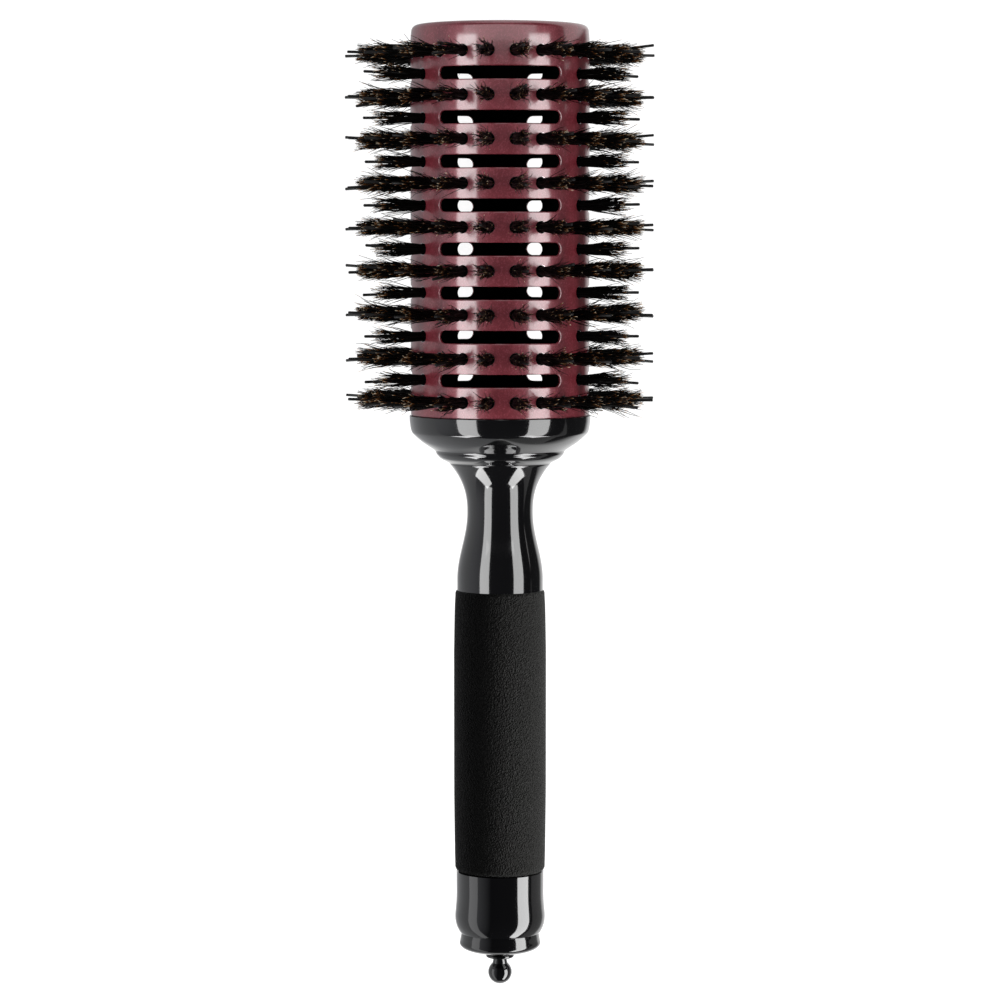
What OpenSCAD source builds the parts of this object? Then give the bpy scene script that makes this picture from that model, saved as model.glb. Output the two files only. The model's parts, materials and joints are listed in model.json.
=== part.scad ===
// Vented round brush for blow-drying, lying on its bristles.
// A metal barrel is drawn over a moulded core, and the core holds a boar bristle tuft with a
// nylon pin in every socket. The core is screwed to a turned handle, which has a foam grip and
// keeps a sectioning pin in its tail. Millimetres. The brush's axis lies along Y with the open
// end of the barrel towards +Y. Z = 0 is the surface under the lowest pin tips.

/* [Barrel] */
// Outside diameter of the metal barrel
barrel_d = 50; // [46:0.5:56]
// Wall of the metal barrel
barrel_wall = 0.8; // [0.6:0.05:1]
// Radius of the slow crown that draws the barrel in towards its open end
crown_r = 30; // [20:1:40]
// Angle that the crown turns before the rim
crown_angle = 8; // [4:0.5:9]
// Outside radius of the rolled rim at the open end
rim_r = 1.8; // [1.5:0.1:2.2]
// How far the rolled rim turns in over the core
rim_reach = 3.6; // [3.2:0.1:5]
// From the collar to the first ring of tufts
first_ring = 4.4; // [4.2:0.1:8]
// Distance from one ring of tufts to the next
ring_pitch = 12; // [11:0.1:14]
// From the last ring of tufts to the open end
mouth_margin = 8.1; // [6:0.1:12]

/* [Vents] */
// Width of a slot along the barrel
slot_w = 3.5; // [2.5:0.1:4.5]
// Angle from the middle of a slot to its end
slot_half_angle = 41.6; // [34:0.2:44]

/* [Core] */
// Bore of the core
core_bore_d = 33.8; // [32:0.2:35]
// How much wider the mouth of the core is than its bore all round
mouth_step = 0.6; // [0.4:0.1:1]
// Depth of the wider mouth
mouth_depth = 9; // [6:0.5:10]
// Bevel at the edge of the mouth
mouth_bevel = 0.6; // [0.3:0.1:1]
// Gap between the barrel and the core all round
barrel_fit = 0.05; // [0.03:0.01:0.1]
// Depth of a tuft socket in the core
socket_depth = 4.8; // [3.6:0.1:5.2]

/* [Tufts] */
// Tufts in a full ring
ring_tuft_count = 21; // [15, 21]
// Angle that the pattern of tufts is turned from the middle of the slots
tuft_turn = 1.3; // [0:0.1:1.5]
// Diameter of a tuft hole
tuft_hole_d = 2.9; // [2.6:0.1:3.4]
// Width of the bevel round a tuft hole
hole_bevel = 0.25; // [0.15:0.05:0.35]
// Gap between a tuft and its socket all round
tuft_fit = 0.1; // [0.05:0.01:0.15]
// Diameter of a tuft at its tips
tuft_tip_d = 4.4; // [3.6:0.1:5]
// Height of the bristle tips over the barrel
bristle_l = 14.8; // [9:0.1:16]
// Depth of the crown that the shorter bristles leave
tuft_crown = 1.2; // [0.6:0.1:2]
// Diameter of a nylon pin
pin_d = 0.7; // [0.5:0.05:0.9]
// Height of the pin tips over the barrel
pin_l = 18.4; // [17:0.1:22]
// Gap round a pin in its tuft
pin_fit = 0.03; // [0.02:0.01:0.06]
// Height of the flat wire that anchors a tuft
anchor_h = 1.6; // [1:0.1:2]
// Thickness of the flat wire
anchor_t = 0.35; // [0.25:0.05:0.5]

/* [Handle] */
// How far the collar stands proud of the barrel
collar_proud = 0.4; // [0.2:0.1:1]
// Height of the collar's upright band
collar_h = 4.3; // [3:0.1:6]
// Radius of the step under the collar
step_r = 18.3; // [16:0.1:19.5]
// Depth of the step below the barrel
step_depth = 9.9; // [9.5:0.1:12]
// Radius where the neck leaves the step
neck_top_r = 14; // [12.6:0.1:15]
// Diameter of the neck at its thinnest
neck_d = 18.3; // [16:0.1:20]
// Depth of the thinnest point below the barrel
neck_depth = 27.4; // [24:0.1:32]
// Diameter of the handle where the grip starts
hand_d = 24.2; // [23:0.1:25]
// Depth of the grip's upper end below the barrel
grip_depth = 49; // [47:0.5:60]
// Height of the boss that centres the core
boss_h = 1.5; // [1:0.1:1.8]

/* [Grip] */
// Diameter of the foam grip over its straight middle
grip_d = 26; // [25.6:0.1:29]
// Length of the foam grip
grip_l = 80.2; // [76:0.1:100]
// Diameter of the handle inside the grip
grip_core_d = 20.4; // [19:0.1:21]
// Rounding of the grip's ends
grip_end_r = 1.4; // [0.8:0.1:2]

/* [Tail] */
// Length of the handle's tail behind the grip
tail_l = 17.8; // [16:0.1:24]
// Diameter of the tail where it meets the grip
tail_d = 24.4; // [23.6:0.1:25]
// Diameter of the tail's bulb
bulb_d = 25.2; // [24.6:0.1:27]
// Diameter at the bottom of the groove
groove_d = 21.6; // [20:0.1:22.2]
// Length of the end ring
ferrule_l = 6.2; // [5:0.1:8]
// Diameter of the end ring
ferrule_d = 22.7; // [22:0.1:24]
// Diameter of the end ring's spigot
spigot_d = 13; // [11:0.1:15]
// Length of the end ring's spigot
spigot_l = 9; // [6:0.1:12]

/* [Sectioning pin] */
// Diameter of the steel rod
rod_d = 2.5; // [2:0.1:3]
// Length of the rod that the handle hides
rod_l = 88; // [60:0.5:92]
// Gap between the rod and its bush all round
rod_fit = 0.05; // [0.03:0.01:0.09]
// Length of the rod's taper
rod_taper_l = 7; // [4:0.1:12]
// Outside diameter of the nylon bush
bush_d = 6; // [5:0.1:7]
// Diameter of the knob's flange
flange_d = 7.9; // [7.2:0.1:9]
// Thickness of the flange
flange_t = 0.9; // [0.7:0.1:1.5]
// Diameter of the knob's ball
ball_d = 6.7; // [6:0.1:9]
// Diameter of the knob's neck
knob_neck_d = 3.9; // [3.7:0.1:5]
// Clear length of the knob's neck
knob_neck_l = 0.9; // [0.6:0.1:2]

/* [Fastening] */
// Thickness of the disc that closes the core
hub_t = 2; // [1.5:0.1:2.2]
// Height of the hub's rim over the disc
hub_rim_h = 4.4; // [4.2:0.1:4.6]
// Thickness of the hub's rim
hub_rim_t = 1.8; // [1.4:0.1:2.2]
// Thickness of the hub's ribs
hub_rib_t = 1.4; // [1:0.1:2]
// How much wider the hub's seat is than the bore of the core all round
hub_ledge = 0.5; // [0.3:0.1:0.8]
// Diameter of the screw
screw_d = 5; // [4:0.1:6]
// Depth of the screw in the handle
screw_l = 24; // [16:0.5:30]
// Diameter of the screw's head
screw_head_d = 9; // [8:0.1:10]
// Height of the screw's head
screw_head_h = 2.8; // [2.4:0.1:3]
// Diameter of the washer
washer_d = 12; // [11:0.1:14]
// Thickness of the washer
washer_t = 1.2; // [0.8:0.1:1.4]
// Gap round pieces that are pushed or glued together
push_fit = 0.05; // [0.02:0.01:0.1]

/* [Hidden] */
$fn = 64;
ring_rows = 9;
slots_round = 3;
bridge_rows = ring_rows - 1;
arc_steps = 6;
crown_steps = 3;
gap = 0.1;
over = 1;

barrel_r = barrel_d / 2;
barrel_l = first_ring + (ring_rows - 1) * ring_pitch + mouth_margin;
core_r = barrel_r - barrel_wall - barrel_fit;
core_bore_r = core_bore_d / 2;
mouth_r = core_bore_r + mouth_step;
core_l = barrel_l - barrel_wall - barrel_fit;
socket_r = tuft_hole_d / 2;
socket_floor = core_r - socket_depth;
tuft_root_r = socket_r - tuft_fit;
tuft_tip_r = tuft_tip_d / 2;
bristle_reach = barrel_r + bristle_l;
pin_r = pin_d / 2;
pin_reach = barrel_r + pin_l;
pin_foot = socket_floor + anchor_h;
ring_step = 360 / ring_tuft_count;
bridge_step = 360 / slots_round;

collar_r = barrel_r + collar_proud;
hand_r = hand_d / 2;
neck_r = neck_d / 2;
grip_r = grip_d / 2;
grip_core_r = grip_core_d / 2;
grip_end = grip_depth + grip_l;
tail_end = grip_end + tail_l;
ferrule_end = tail_end + ferrule_l;
rod_r = rod_d / 2;
rod_tip = ferrule_end - rod_l;
rod_room = 4;
knob_face = ferrule_end + gap;
ball_centre = knob_face + flange_t + knob_neck_l + ball_d / 2;
knob_end = ball_centre + ball_d / 2;

hub_floor = boss_h + hub_t;
hub_top = hub_floor + hub_rim_h;
hub_seat_r = core_bore_r + hub_ledge;
hub_r = hub_seat_r - push_fit;
screw_r = screw_d / 2;

axis_height = pin_reach;
y_shift = (knob_end - barrel_l) / 2;

// Shapes below are drawn on an upright axis: Z runs along the brush, with Z = 0 where the
// barrel meets the collar and +Z towards the open end. lie() lays them along Y.

module lie() {
    translate([0, y_shift, axis_height])
        rotate([-90, 0, 0])
            children();
}

// Points of an arc about a centre, from one angle to another.
function arc(centre, r, from, to) = [
    for (i = [0:arc_steps])
        let (a = from + (to - from) * i / arc_steps)
            [centre[0] + r * cos(a), centre[1] + r * sin(a)]
];

// A smooth curve through three neighbouring points, between the second and the third.
function between(before, from, to, after, t) =
    let (a = 2 * from)
    let (b = to - before)
    let (c = 2 * before - 5 * from + 4 * to - after)
    let (d = -before + 3 * from - 3 * to + after)
    0.5 * (a + b * t + c * t * t + d * t * t * t);

// A smooth curve through a list of points, with so many steps to each span.
function curve(points, steps) =
    let (last = len(points) - 1)
    [
        for (i = [0:last - 1])
            for (k = [0:(i == last - 1 ? steps : steps - 1)])
                between(
                    points[max(i - 1, 0)], points[i], points[i + 1], points[min(i + 2, last)],
                    k / steps
                )
    ];

// Radius and depth below the barrel, turned into a point of a lathe profile.
function below(points) = [for (p = points) [p[0], -p[1]]];

// Where the rings and the slots lie along the barrel.
function ring_z(row) = first_ring + (row - 1) * ring_pitch;
function bridge_z(row) = ring_z(row) + ring_pitch / 2;

// Angles of the tufts in a full ring, and of those on the bridges between the slots.
function ring_angles() = [for (i = [0:ring_tuft_count - 1]) (i + 0.5) * ring_step + tuft_turn];
function bridge_angles() = [for (i = [0:slots_round - 1]) (i + 0.5) * bridge_step + tuft_turn];

// Puts a shape drawn along Z from the axis outwards at one place on the barrel.
module outwards(z, angle) {
    translate([0, 0, z])
        rotate([0, 0, angle])
            rotate([90, 0, 0])
                children();
}

module each_tuft() {
    for (row = [1:ring_rows])
        for (angle = ring_angles())
            outwards(ring_z(row), angle)
                children();
    for (row = [1:bridge_rows])
        for (angle = bridge_angles())
            outwards(bridge_z(row), angle)
                children();
}

module each_slot() {
    for (row = [1:bridge_rows])
        for (i = [0:slots_round - 1])
            translate([0, 0, bridge_z(row)])
                rotate([0, 0, i * bridge_step])
                    children();
}

// A slot with round ends, cut outwards from a radius. Its ends are drilled square to the barrel.
module vent(from_r) {
    end_angle = slot_half_angle - asin(slot_w / 2 / barrel_r);
    reach = barrel_r - from_r + 2 * over;
    rotate([0, 0, -90 - end_angle])
        rotate_extrude(angle = 2 * end_angle)
            translate([from_r - over, -slot_w / 2])
                square([reach, slot_w]);
    for (side = [-1, 1])
        outwards(0, side * end_angle)
            translate([0, 0, from_r - over])
                cylinder(d = slot_w, h = reach);
}

// A tuft hole through the barrel, bevelled outside.
module barrel_hole() {
    edge = barrel_r - hole_bevel;
    rotate_extrude()
        polygon([
            [0, core_r - over],
            [socket_r, core_r - over],
            [socket_r, edge],
            [socket_r + hole_bevel + over, barrel_r + over],
            [0, barrel_r + over]
        ]);
}

// Outline of the barrel towards its open end, moved inwards by a depth: the crown, then the rim.
function mouth_side(depth) =
    let (reach = crown_r - rim_r)
    let (crown = [barrel_r - crown_r, barrel_l - rim_r - reach * sin(crown_angle)])
    let (bend = [crown[0] + reach * cos(crown_angle), barrel_l - rim_r])
    concat(
        [
            for (i = [0:crown_steps - 1])
                let (a = crown_angle * i / crown_steps)
                    crown + (crown_r - depth) * [cos(a), sin(a)]
        ],
        arc(bend, rim_r - depth, crown_angle, 90)
    );

module barrel_sleeve() {
    inside = mouth_side(barrel_wall);
    color("#7d3947")
        difference() {
            rotate_extrude($fn = 128)
                polygon(concat(
                    [[barrel_r - barrel_wall, 0], [barrel_r, 0]],
                    mouth_side(0),
                    [
                        [barrel_r - rim_reach, barrel_l],
                        [barrel_r - rim_reach, barrel_l - barrel_wall]
                    ],
                    [for (i = [len(inside) - 1:-1:0]) inside[i]]
                ));
            each_slot()
                vent(core_r);
            each_tuft()
                barrel_hole();
        }
}

module bristle_core() {
    color("#1b1a1c")
        difference() {
            rotate_extrude($fn = 128)
                polygon(concat(
                    [[hub_seat_r, 0], [core_r, 0]],
                    mouth_side(barrel_wall + barrel_fit),
                    [
                        [mouth_r + mouth_bevel, core_l],
                        [mouth_r, core_l - mouth_bevel],
                        [mouth_r, core_l - mouth_depth],
                        [core_bore_r, core_l - mouth_depth],
                        [core_bore_r, hub_top],
                        [hub_seat_r, hub_top]
                    ]
                ));
            each_slot()
                vent(core_bore_r);
            each_tuft()
                translate([0, 0, socket_floor])
                    cylinder(r = socket_r, h = socket_depth + over);
        }
}

// A folded bundle of bristles: it straddles its anchor, fills its socket and opens out.
module tuft() {
    difference() {
        rotate_extrude($fn = 24)
            polygon([
                [pin_r + pin_fit, socket_floor],
                [tuft_root_r, socket_floor],
                [tuft_root_r, barrel_r],
                [(tuft_root_r + tuft_tip_r) / 2, barrel_r + bristle_l / 3],
                [tuft_tip_r, bristle_reach - tuft_crown],
                [tuft_tip_r * 0.8, bristle_reach - tuft_crown / 4],
                [tuft_tip_r * 0.4, bristle_reach],
                [pin_r + pin_fit, bristle_reach]
            ]);
        translate([-tuft_root_r - over, -anchor_t / 2 - pin_fit, socket_floor - over])
            cube([2 * (tuft_root_r + over), anchor_t + 2 * pin_fit, anchor_h + over]);
    }
}

module ring_tufts(row) {
    color("#241c19")
        for (angle = ring_angles())
            outwards(ring_z(row), angle)
                tuft();
}

module bridge_tufts(row) {
    color("#241c19")
        for (angle = bridge_angles())
            outwards(bridge_z(row), angle)
                tuft();
}

// A stiff pin with a blunt end, standing on the flat wire in the middle of its tuft.
module pin() {
    blunt = pin_r / 3;
    rotate_extrude($fn = 16)
        polygon([
            [0, pin_foot],
            [pin_r, pin_foot],
            [pin_r, pin_reach - blunt],
            [pin_r - blunt, pin_reach],
            [0, pin_reach]
        ]);
}

module ring_pins(row) {
    color("#111111")
        for (angle = ring_angles())
            outwards(ring_z(row), angle)
                pin();
}

module bridge_pins(row) {
    color("#111111")
        for (angle = bridge_angles())
            outwards(bridge_z(row), angle)
                pin();
}

// Flat wires that are punched into the sockets over the fold of each bundle.
module tuft_anchors() {
    width = 2 * (socket_r - push_fit);
    color("#c9a85c")
        each_tuft()
            translate([-width / 2, -anchor_t / 2, socket_floor])
                cube([width, anchor_t, anchor_h]);
}

// The cup that closes the core: it sits on the handle's boss, under the ledge in the core,
// and six ribs tie its floor to its rim.
module core_hub() {
    rim_in = hub_r - hub_rim_t;
    rib_from = washer_d / 2 + gap;
    rib_h = hub_rim_h / 2;
    color("#232225")
        difference() {
            union() {
                difference() {
                    translate([0, 0, boss_h])
                        cylinder(r = hub_r, h = hub_t + hub_rim_h);
                    translate([0, 0, hub_floor])
                        cylinder(r = rim_in, h = hub_rim_h + over);
                }
                for (angle = [30:60:330])
                    rotate([0, 0, angle])
                        translate([rib_from, -hub_rib_t / 2, hub_floor - gap])
                            cube([rim_in - rib_from + gap, hub_rib_t, rib_h + gap]);
            }
            translate([0, 0, boss_h - over])
                cylinder(r = screw_r + push_fit, h = hub_t + 2 * over);
        }
}

module hub_washer() {
    color("#b9bcc0")
        translate([0, 0, hub_floor])
            difference() {
                cylinder(d = washer_d, h = washer_t);
                translate([0, 0, -over])
                    cylinder(r = screw_r + push_fit, h = washer_t + 2 * over);
            }
}

// A pan-head wood screw with a cross recess.
module hub_screw() {
    under_head = hub_floor + washer_t;
    head_r = screw_head_d / 2;
    cross_l = screw_head_d * 0.55;
    cross_t = 1;
    recess = screw_head_h * 0.6;
    color("#a9acb0")
        difference() {
            rotate_extrude()
                polygon([
                    [0, -screw_l],
                    [screw_r, -screw_l + 2 * screw_r],
                    [screw_r, under_head],
                    [head_r, under_head],
                    [head_r, under_head + screw_head_h * 0.4],
                    [head_r * 0.8, under_head + screw_head_h * 0.85],
                    [head_r * 0.4, under_head + screw_head_h],
                    [0, under_head + screw_head_h]
                ]);
            for (angle = [0, 90])
                rotate([0, 0, angle])
                    translate([-cross_l / 2, -cross_t / 2, under_head + screw_head_h - recess])
                        cube([cross_l, cross_t, recess + over]);
        }
}

// Outline of the collar, its underside and the step below it.
function collar_side() = concat(
    [[collar_r - 0.3, 0]],
    curve([
        [collar_r, 0.4],
        [collar_r - 0.1, collar_h / 2],
        [collar_r - 0.5, collar_h],
        [collar_r - 1.2, collar_h + 1.1],
        [(collar_r + step_r) / 2, (collar_h + step_depth) / 2 + 0.4],
        [step_r + 0.7, step_depth - 0.5],
        [step_r, step_depth]
    ], 4),
    curve([
        [step_r - 0.3, step_depth + 0.6],
        [step_r - 0.6, step_depth + 1.2],
        [step_r - 1.7, step_depth + 2.3],
        [neck_top_r + 0.5, step_depth + 3.4],
        [neck_top_r, step_depth + 4]
    ], 3)
);

// The neck sweeps in from the step and swells again to the hand.
function neck_side() =
    let (top = step_depth + 4)
    let (swell = grip_depth - 2.6 - neck_depth)
    concat(
        [
            for (i = [1:12])
                let (t = i / 12)
                    [neck_r + (neck_top_r - neck_r) * pow(1 - t, 2.4), top + (neck_depth - top) * t]
        ],
        [
            for (i = [1:12])
                let (t = i / 12)
                    [neck_r + (hand_r - neck_r) * (1 - cos(180 * t)) / 2, neck_depth + swell * t]
        ]
    );

// The tail behind the grip ends in a bulb and a groove.
function tail_side() = curve([
    [tail_d / 2 - 0.4, grip_end + 0.1],
    [tail_d / 2, grip_end + 0.6],
    [tail_d / 2, grip_end + tail_l * 0.4],
    [(tail_d + bulb_d) / 4, grip_end + tail_l * 0.58],
    [bulb_d / 2, grip_end + tail_l * 0.74],
    [bulb_d / 2 - 0.35, grip_end + tail_l * 0.87],
    [groove_d / 2 + 0.6, tail_end - 0.4],
    [groove_d / 2, tail_end]
], 4);

// One turned piece, drilled for the screw at one end and for the sectioning pin at the other.
module handle_body() {
    pilot_end = screw_l + 1;
    pilot_r = screw_r + push_fit;
    boss_r = hub_r;
    bore_r = rod_r + 2 * rod_fit;
    bore_end = rod_tip - rod_room;
    color("#0d0d0f")
        rotate_extrude($fn = 128)
            polygon(concat(
                [
                    [0, -pilot_end],
                    [pilot_r, -pilot_end + pilot_r],
                    [pilot_r, boss_h],
                    [boss_r - 0.4, boss_h],
                    [boss_r, boss_h - 0.4],
                    [boss_r, 0]
                ],
                below(collar_side()),
                below(neck_side()),
                below([
                    [hand_r, grip_depth],
                    [grip_core_r, grip_depth],
                    [grip_core_r, grip_end]
                ]),
                below(tail_side()),
                below([
                    [spigot_d / 2 + push_fit, tail_end],
                    [spigot_d / 2 + push_fit, tail_end - spigot_l - gap],
                    [bore_r, tail_end - spigot_l - gap],
                    [bore_r, bore_end + bore_r],
                    [0, bore_end]
                ])
            ));
}

// A foam tube that is stretched over the handle: it swells a little from its upper end.
module foam_grip() {
    upper_r = grip_r - 0.4;
    lower_r = grip_r - 0.3;
    color("#1e1e20")
        rotate_extrude($fn = 128)
            polygon(concat(
                [[grip_core_r + push_fit, -grip_end], [grip_core_r + push_fit, -grip_depth]],
                arc([upper_r - grip_end_r, -grip_depth - grip_end_r], grip_end_r, 90, 0),
                below(curve([
                    [upper_r, grip_depth + 1.2 * grip_end_r],
                    [upper_r + 0.2, grip_depth + grip_l * 0.08],
                    [grip_r, grip_depth + grip_l * 0.22]
                ], 4)),
                below(curve([
                    [grip_r, grip_end - grip_l * 0.28],
                    [lower_r + 0.1, grip_end - grip_l * 0.08],
                    [lower_r, grip_end - 1.2 * grip_end_r]
                ], 4)),
                arc([lower_r - grip_end_r, -grip_end + grip_end_r], grip_end_r, 0, -90)
            ));
}

// The end ring: its spigot is glued into the tail and its bore holds the bush.
module tail_ferrule() {
    ring_r = ferrule_d / 2;
    dome_r = flange_d / 2;
    color("#0d0d0f")
        rotate_extrude($fn = 128)
            polygon(concat(
                below([
                    [bush_d / 2 + push_fit, ferrule_end],
                    [bush_d / 2 + push_fit, tail_end - spigot_l],
                    [spigot_d / 2, tail_end - spigot_l],
                    [spigot_d / 2, tail_end],
                    [groove_d / 2, tail_end]
                ]),
                below(curve([
                    [groove_d / 2 + 0.1, tail_end + 0.5],
                    [ring_r - 0.2, tail_end + ferrule_l * 0.35],
                    [ring_r, tail_end + ferrule_l * 0.55],
                    [ring_r - 0.2, tail_end + ferrule_l * 0.66],
                    [ring_r - 0.9, tail_end + ferrule_l * 0.76],
                    [ring_r - 2.4, tail_end + ferrule_l * 0.85],
                    [ring_r - 5, tail_end + ferrule_l * 0.94],
                    [dome_r, ferrule_end]
                ], 3))
            ));
}

// A nylon bush in the end ring that grips the rod.
module pin_bush() {
    color("#d8d5cc")
        translate([0, 0, -ferrule_end])
            difference() {
                cylinder(d = bush_d, h = ferrule_l + spigot_l);
                translate([0, 0, -over])
                    cylinder(r = rod_r + rod_fit, h = ferrule_l + spigot_l + 2 * over);
            }
}

// The steel rod for parting hair. Its blunt end is pressed into the knob.
module sectioning_pin() {
    tip_r = 0.45;
    color("#c4c6c9")
        rotate_extrude()
            polygon(concat(
                [[0, -ball_centre], [rod_r, -ball_centre]],
                [[rod_r, -rod_tip - rod_taper_l]],
                arc([0, -rod_tip - tip_r], tip_r, 0, 90)
            ));
}

// The knob to pull: a flange, a short neck and a ball.
module pin_knob() {
    neck_end = knob_face + flange_t + knob_neck_l + over;
    hole_r = rod_r + push_fit / 2;
    color("#0d0d0f")
        difference() {
            union() {
                translate([0, 0, -knob_face - flange_t])
                    cylinder(d = flange_d, h = flange_t);
                translate([0, 0, -neck_end])
                    cylinder(d = knob_neck_d, h = neck_end - knob_face);
                translate([0, 0, -ball_centre])
                    sphere(d = ball_d);
            }
            translate([0, 0, -ball_centre])
                cylinder(r = hole_r, h = ball_centre - knob_face + over);
        }
}

lie() barrel_sleeve();
lie() bristle_core();
lie() tuft_anchors();
lie() core_hub();
lie() hub_washer();
lie() hub_screw();
for (row = [1:ring_rows]) {
    lie() ring_tufts(row);
    lie() ring_pins(row);
}
for (row = [1:bridge_rows]) {
    lie() bridge_tufts(row);
    lie() bridge_pins(row);
}
lie() handle_body();
lie() foam_grip();
lie() tail_ferrule();
lie() pin_bush();
lie() sectioning_pin();
lie() pin_knob();
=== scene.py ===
# %% [markdown]
# A vented round brush. The imported model gives the frame: where every piece lies, in metres, with
# the brush's axis along Y and the open end of the barrel towards +Y. The first cell reads that
# frame, and gives the box of each piece.

# %% Frame
import bmesh
import bpy
import json
import math
import numpy as np
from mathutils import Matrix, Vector, kdtree

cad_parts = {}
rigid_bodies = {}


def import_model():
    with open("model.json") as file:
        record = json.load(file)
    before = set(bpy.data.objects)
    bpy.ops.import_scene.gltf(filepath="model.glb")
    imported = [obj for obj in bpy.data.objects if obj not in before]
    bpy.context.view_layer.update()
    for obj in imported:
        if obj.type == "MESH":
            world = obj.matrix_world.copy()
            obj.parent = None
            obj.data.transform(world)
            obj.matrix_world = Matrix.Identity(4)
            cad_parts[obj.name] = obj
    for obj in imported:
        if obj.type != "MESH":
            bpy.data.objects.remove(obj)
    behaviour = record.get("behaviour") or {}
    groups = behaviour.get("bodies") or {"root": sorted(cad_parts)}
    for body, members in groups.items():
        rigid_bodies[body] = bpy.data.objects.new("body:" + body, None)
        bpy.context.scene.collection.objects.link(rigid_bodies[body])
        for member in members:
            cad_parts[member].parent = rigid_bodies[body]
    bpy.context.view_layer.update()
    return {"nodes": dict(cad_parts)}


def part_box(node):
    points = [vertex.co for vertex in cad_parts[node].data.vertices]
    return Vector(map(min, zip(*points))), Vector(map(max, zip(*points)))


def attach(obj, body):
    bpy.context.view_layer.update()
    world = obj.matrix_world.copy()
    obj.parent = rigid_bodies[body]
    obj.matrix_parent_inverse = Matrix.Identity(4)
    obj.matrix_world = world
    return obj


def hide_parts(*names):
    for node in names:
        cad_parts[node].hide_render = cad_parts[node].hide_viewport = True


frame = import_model()
nodes = frame["nodes"]

# %% [markdown]
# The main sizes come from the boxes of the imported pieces, so the scene follows the model. They
# are kept in millimetres, as they would stand on a drawing, and MM turns them into metres.

# %% Main sizes
MM = 0.001


def box_mm(node):
    """The two corners of a piece's box, in millimetres."""
    return [[c / MM for c in corner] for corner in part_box(node)]


sleeve_low, sleeve_high = box_mm("barrel_sleeve")
AXIS_Z = (sleeve_low[2] + sleeve_high[2]) / 2
SEAM_Y, MOUTH_Y = sleeve_low[1], sleeve_high[1]
BARREL_R = (sleeve_high[2] - sleeve_low[2]) / 2
BARREL_L = MOUTH_Y - SEAM_Y
print("barrel radius", round(BARREL_R, 2), "length", round(BARREL_L, 2))
print("height of the axis", round(AXIS_Z, 2))

# %% [markdown]
# The tufts stand in nine full rings. Between two rings there is a tuft on each bridge between
# two slots. TUFT_TURN is how far their pattern is turned from the middle of the slots. Angles go
# round the barrel from the top, in degrees. rows holds, for each row, a pattern for its names,
# its place along the axis and the angles of its tufts.

# %% Rings and bridges
RINGS, RING_TUFTS = 9, 21
SLOTS_ROUND = 3
TUFT_TURN = 1.3


def middle_y(node):
    """Where the middle of a piece lies along the axis, in millimetres."""
    low, high = box_mm(node)
    return (low[1] + high[1]) / 2


ring_y = [middle_y(f"ring_tufts_{i}") for i in range(1, RINGS + 1)]
bridge_y = [middle_y(f"bridge_tufts_{i}") for i in range(1, RINGS)]
ring_angles = [(i + 0.5) * 360 / RING_TUFTS + TUFT_TURN for i in range(RING_TUFTS)]
bridge_angles = [(i + 0.5) * 360 / SLOTS_ROUND + TUFT_TURN for i in range(SLOTS_ROUND)]
rows = [(f"ring_{{}}_{i}", y, ring_angles) for i, y in enumerate(ring_y, 1)]
rows += [(f"bridge_{{}}_{i}", y, bridge_angles) for i, y in enumerate(bridge_y, 1)]
print("tufts", sum(len(angles) for name, y, angles in rows))

# %% [markdown]
# The camera stands almost a metre above the brush and is tilted a little towards the handle, so
# that the barrel is seen square on and the handle slightly from its end. A long lens keeps the
# edges straight, as in a catalogue picture.

# %% Camera
SENSOR_W, LENS = 36.0, 121.7  # millimetres
CAMERA_HEIGHT = 948  # above the axis
CAMERA_FOOT = SEAM_Y + 48.9  # the point of the axis right under the camera
AIM = CAMERA_FOOT - 72.9  # the point of the axis in the middle of the view

camera_data = bpy.data.cameras.new("catalogue_camera")
camera_data.sensor_width = SENSOR_W
camera_data.lens = LENS
camera = bpy.data.objects.new("catalogue_camera", camera_data)
bpy.context.scene.collection.objects.link(camera)
camera.location = (0, CAMERA_FOOT * MM, (AXIS_Z + CAMERA_HEIGHT) * MM)
tilt = math.atan2(CAMERA_FOOT - AIM, CAMERA_HEIGHT)
camera.rotation_euler = (-tilt, 0, 0)
bpy.context.scene.camera = camera
print("camera tilt", round(math.degrees(tilt), 2))

# %% [markdown]
# Colours are written as sRGB hex values, which is how a paint or a picture editor names them.
# Shaders work with linear light, so one function converts them.

# %% Colours


def linear(code):
    """An sRGB hex colour as linear RGBA."""
    parts = [int(code[i:i + 2], 16) / 255 for i in (1, 3, 5)]
    return [c / 12.92 if c <= 0.04045 else ((c + 0.055) / 1.055) ** 2.4 for c in parts] + [1.0]


print("burgundy in linear light", [round(c, 3) for c in linear("#75232c")])

# %% [markdown]
# One function adds every shader node, with its settings and its links. Another starts a material.

# %% Shader nodes


def add(tree, kind, links=(), stops=(), **settings):
    """Adds a shader node. links are (input, output socket) pairs. settings are properties of the
    node or, with _ for a space, its inputs. stops are (position, sRGB hex) pairs of a ramp."""
    node = tree.nodes.new(kind)
    for key, value in settings.items():
        if hasattr(node, key):
            setattr(node, key, value)
        else:
            node.inputs[key.replace("_", " ")].default_value = value
    for name, source in links:
        tree.links.new(node.inputs[name], source)
    for i, (position, code) in enumerate(stops):
        element = node.color_ramp.elements[i] if i < 2 else node.color_ramp.elements.new(position)
        element.position = position
        element.color = linear(code)
    return node


def new_material(name):
    """An empty material, with its tree."""
    material = bpy.data.materials.new(name)
    material.use_nodes = True
    material.node_tree.nodes.clear()
    return material, material.node_tree


print("materials before the brush is dressed", len(bpy.data.materials))

# %% [markdown]
# The barrel is an aluminium tube with a burgundy metallic coat: lacquer with fine flakes under a
# clear coat. Real flakes are some 0.05 mm across, too fine to show here, so they are drawn at
# 0.3 mm. They change the tint a little and tilt the lacquer's normal, which makes it sparkle. The
# clear coat is orange-peeled on a scale of a few millimetres, which softens the lamps' streaks.

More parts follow.
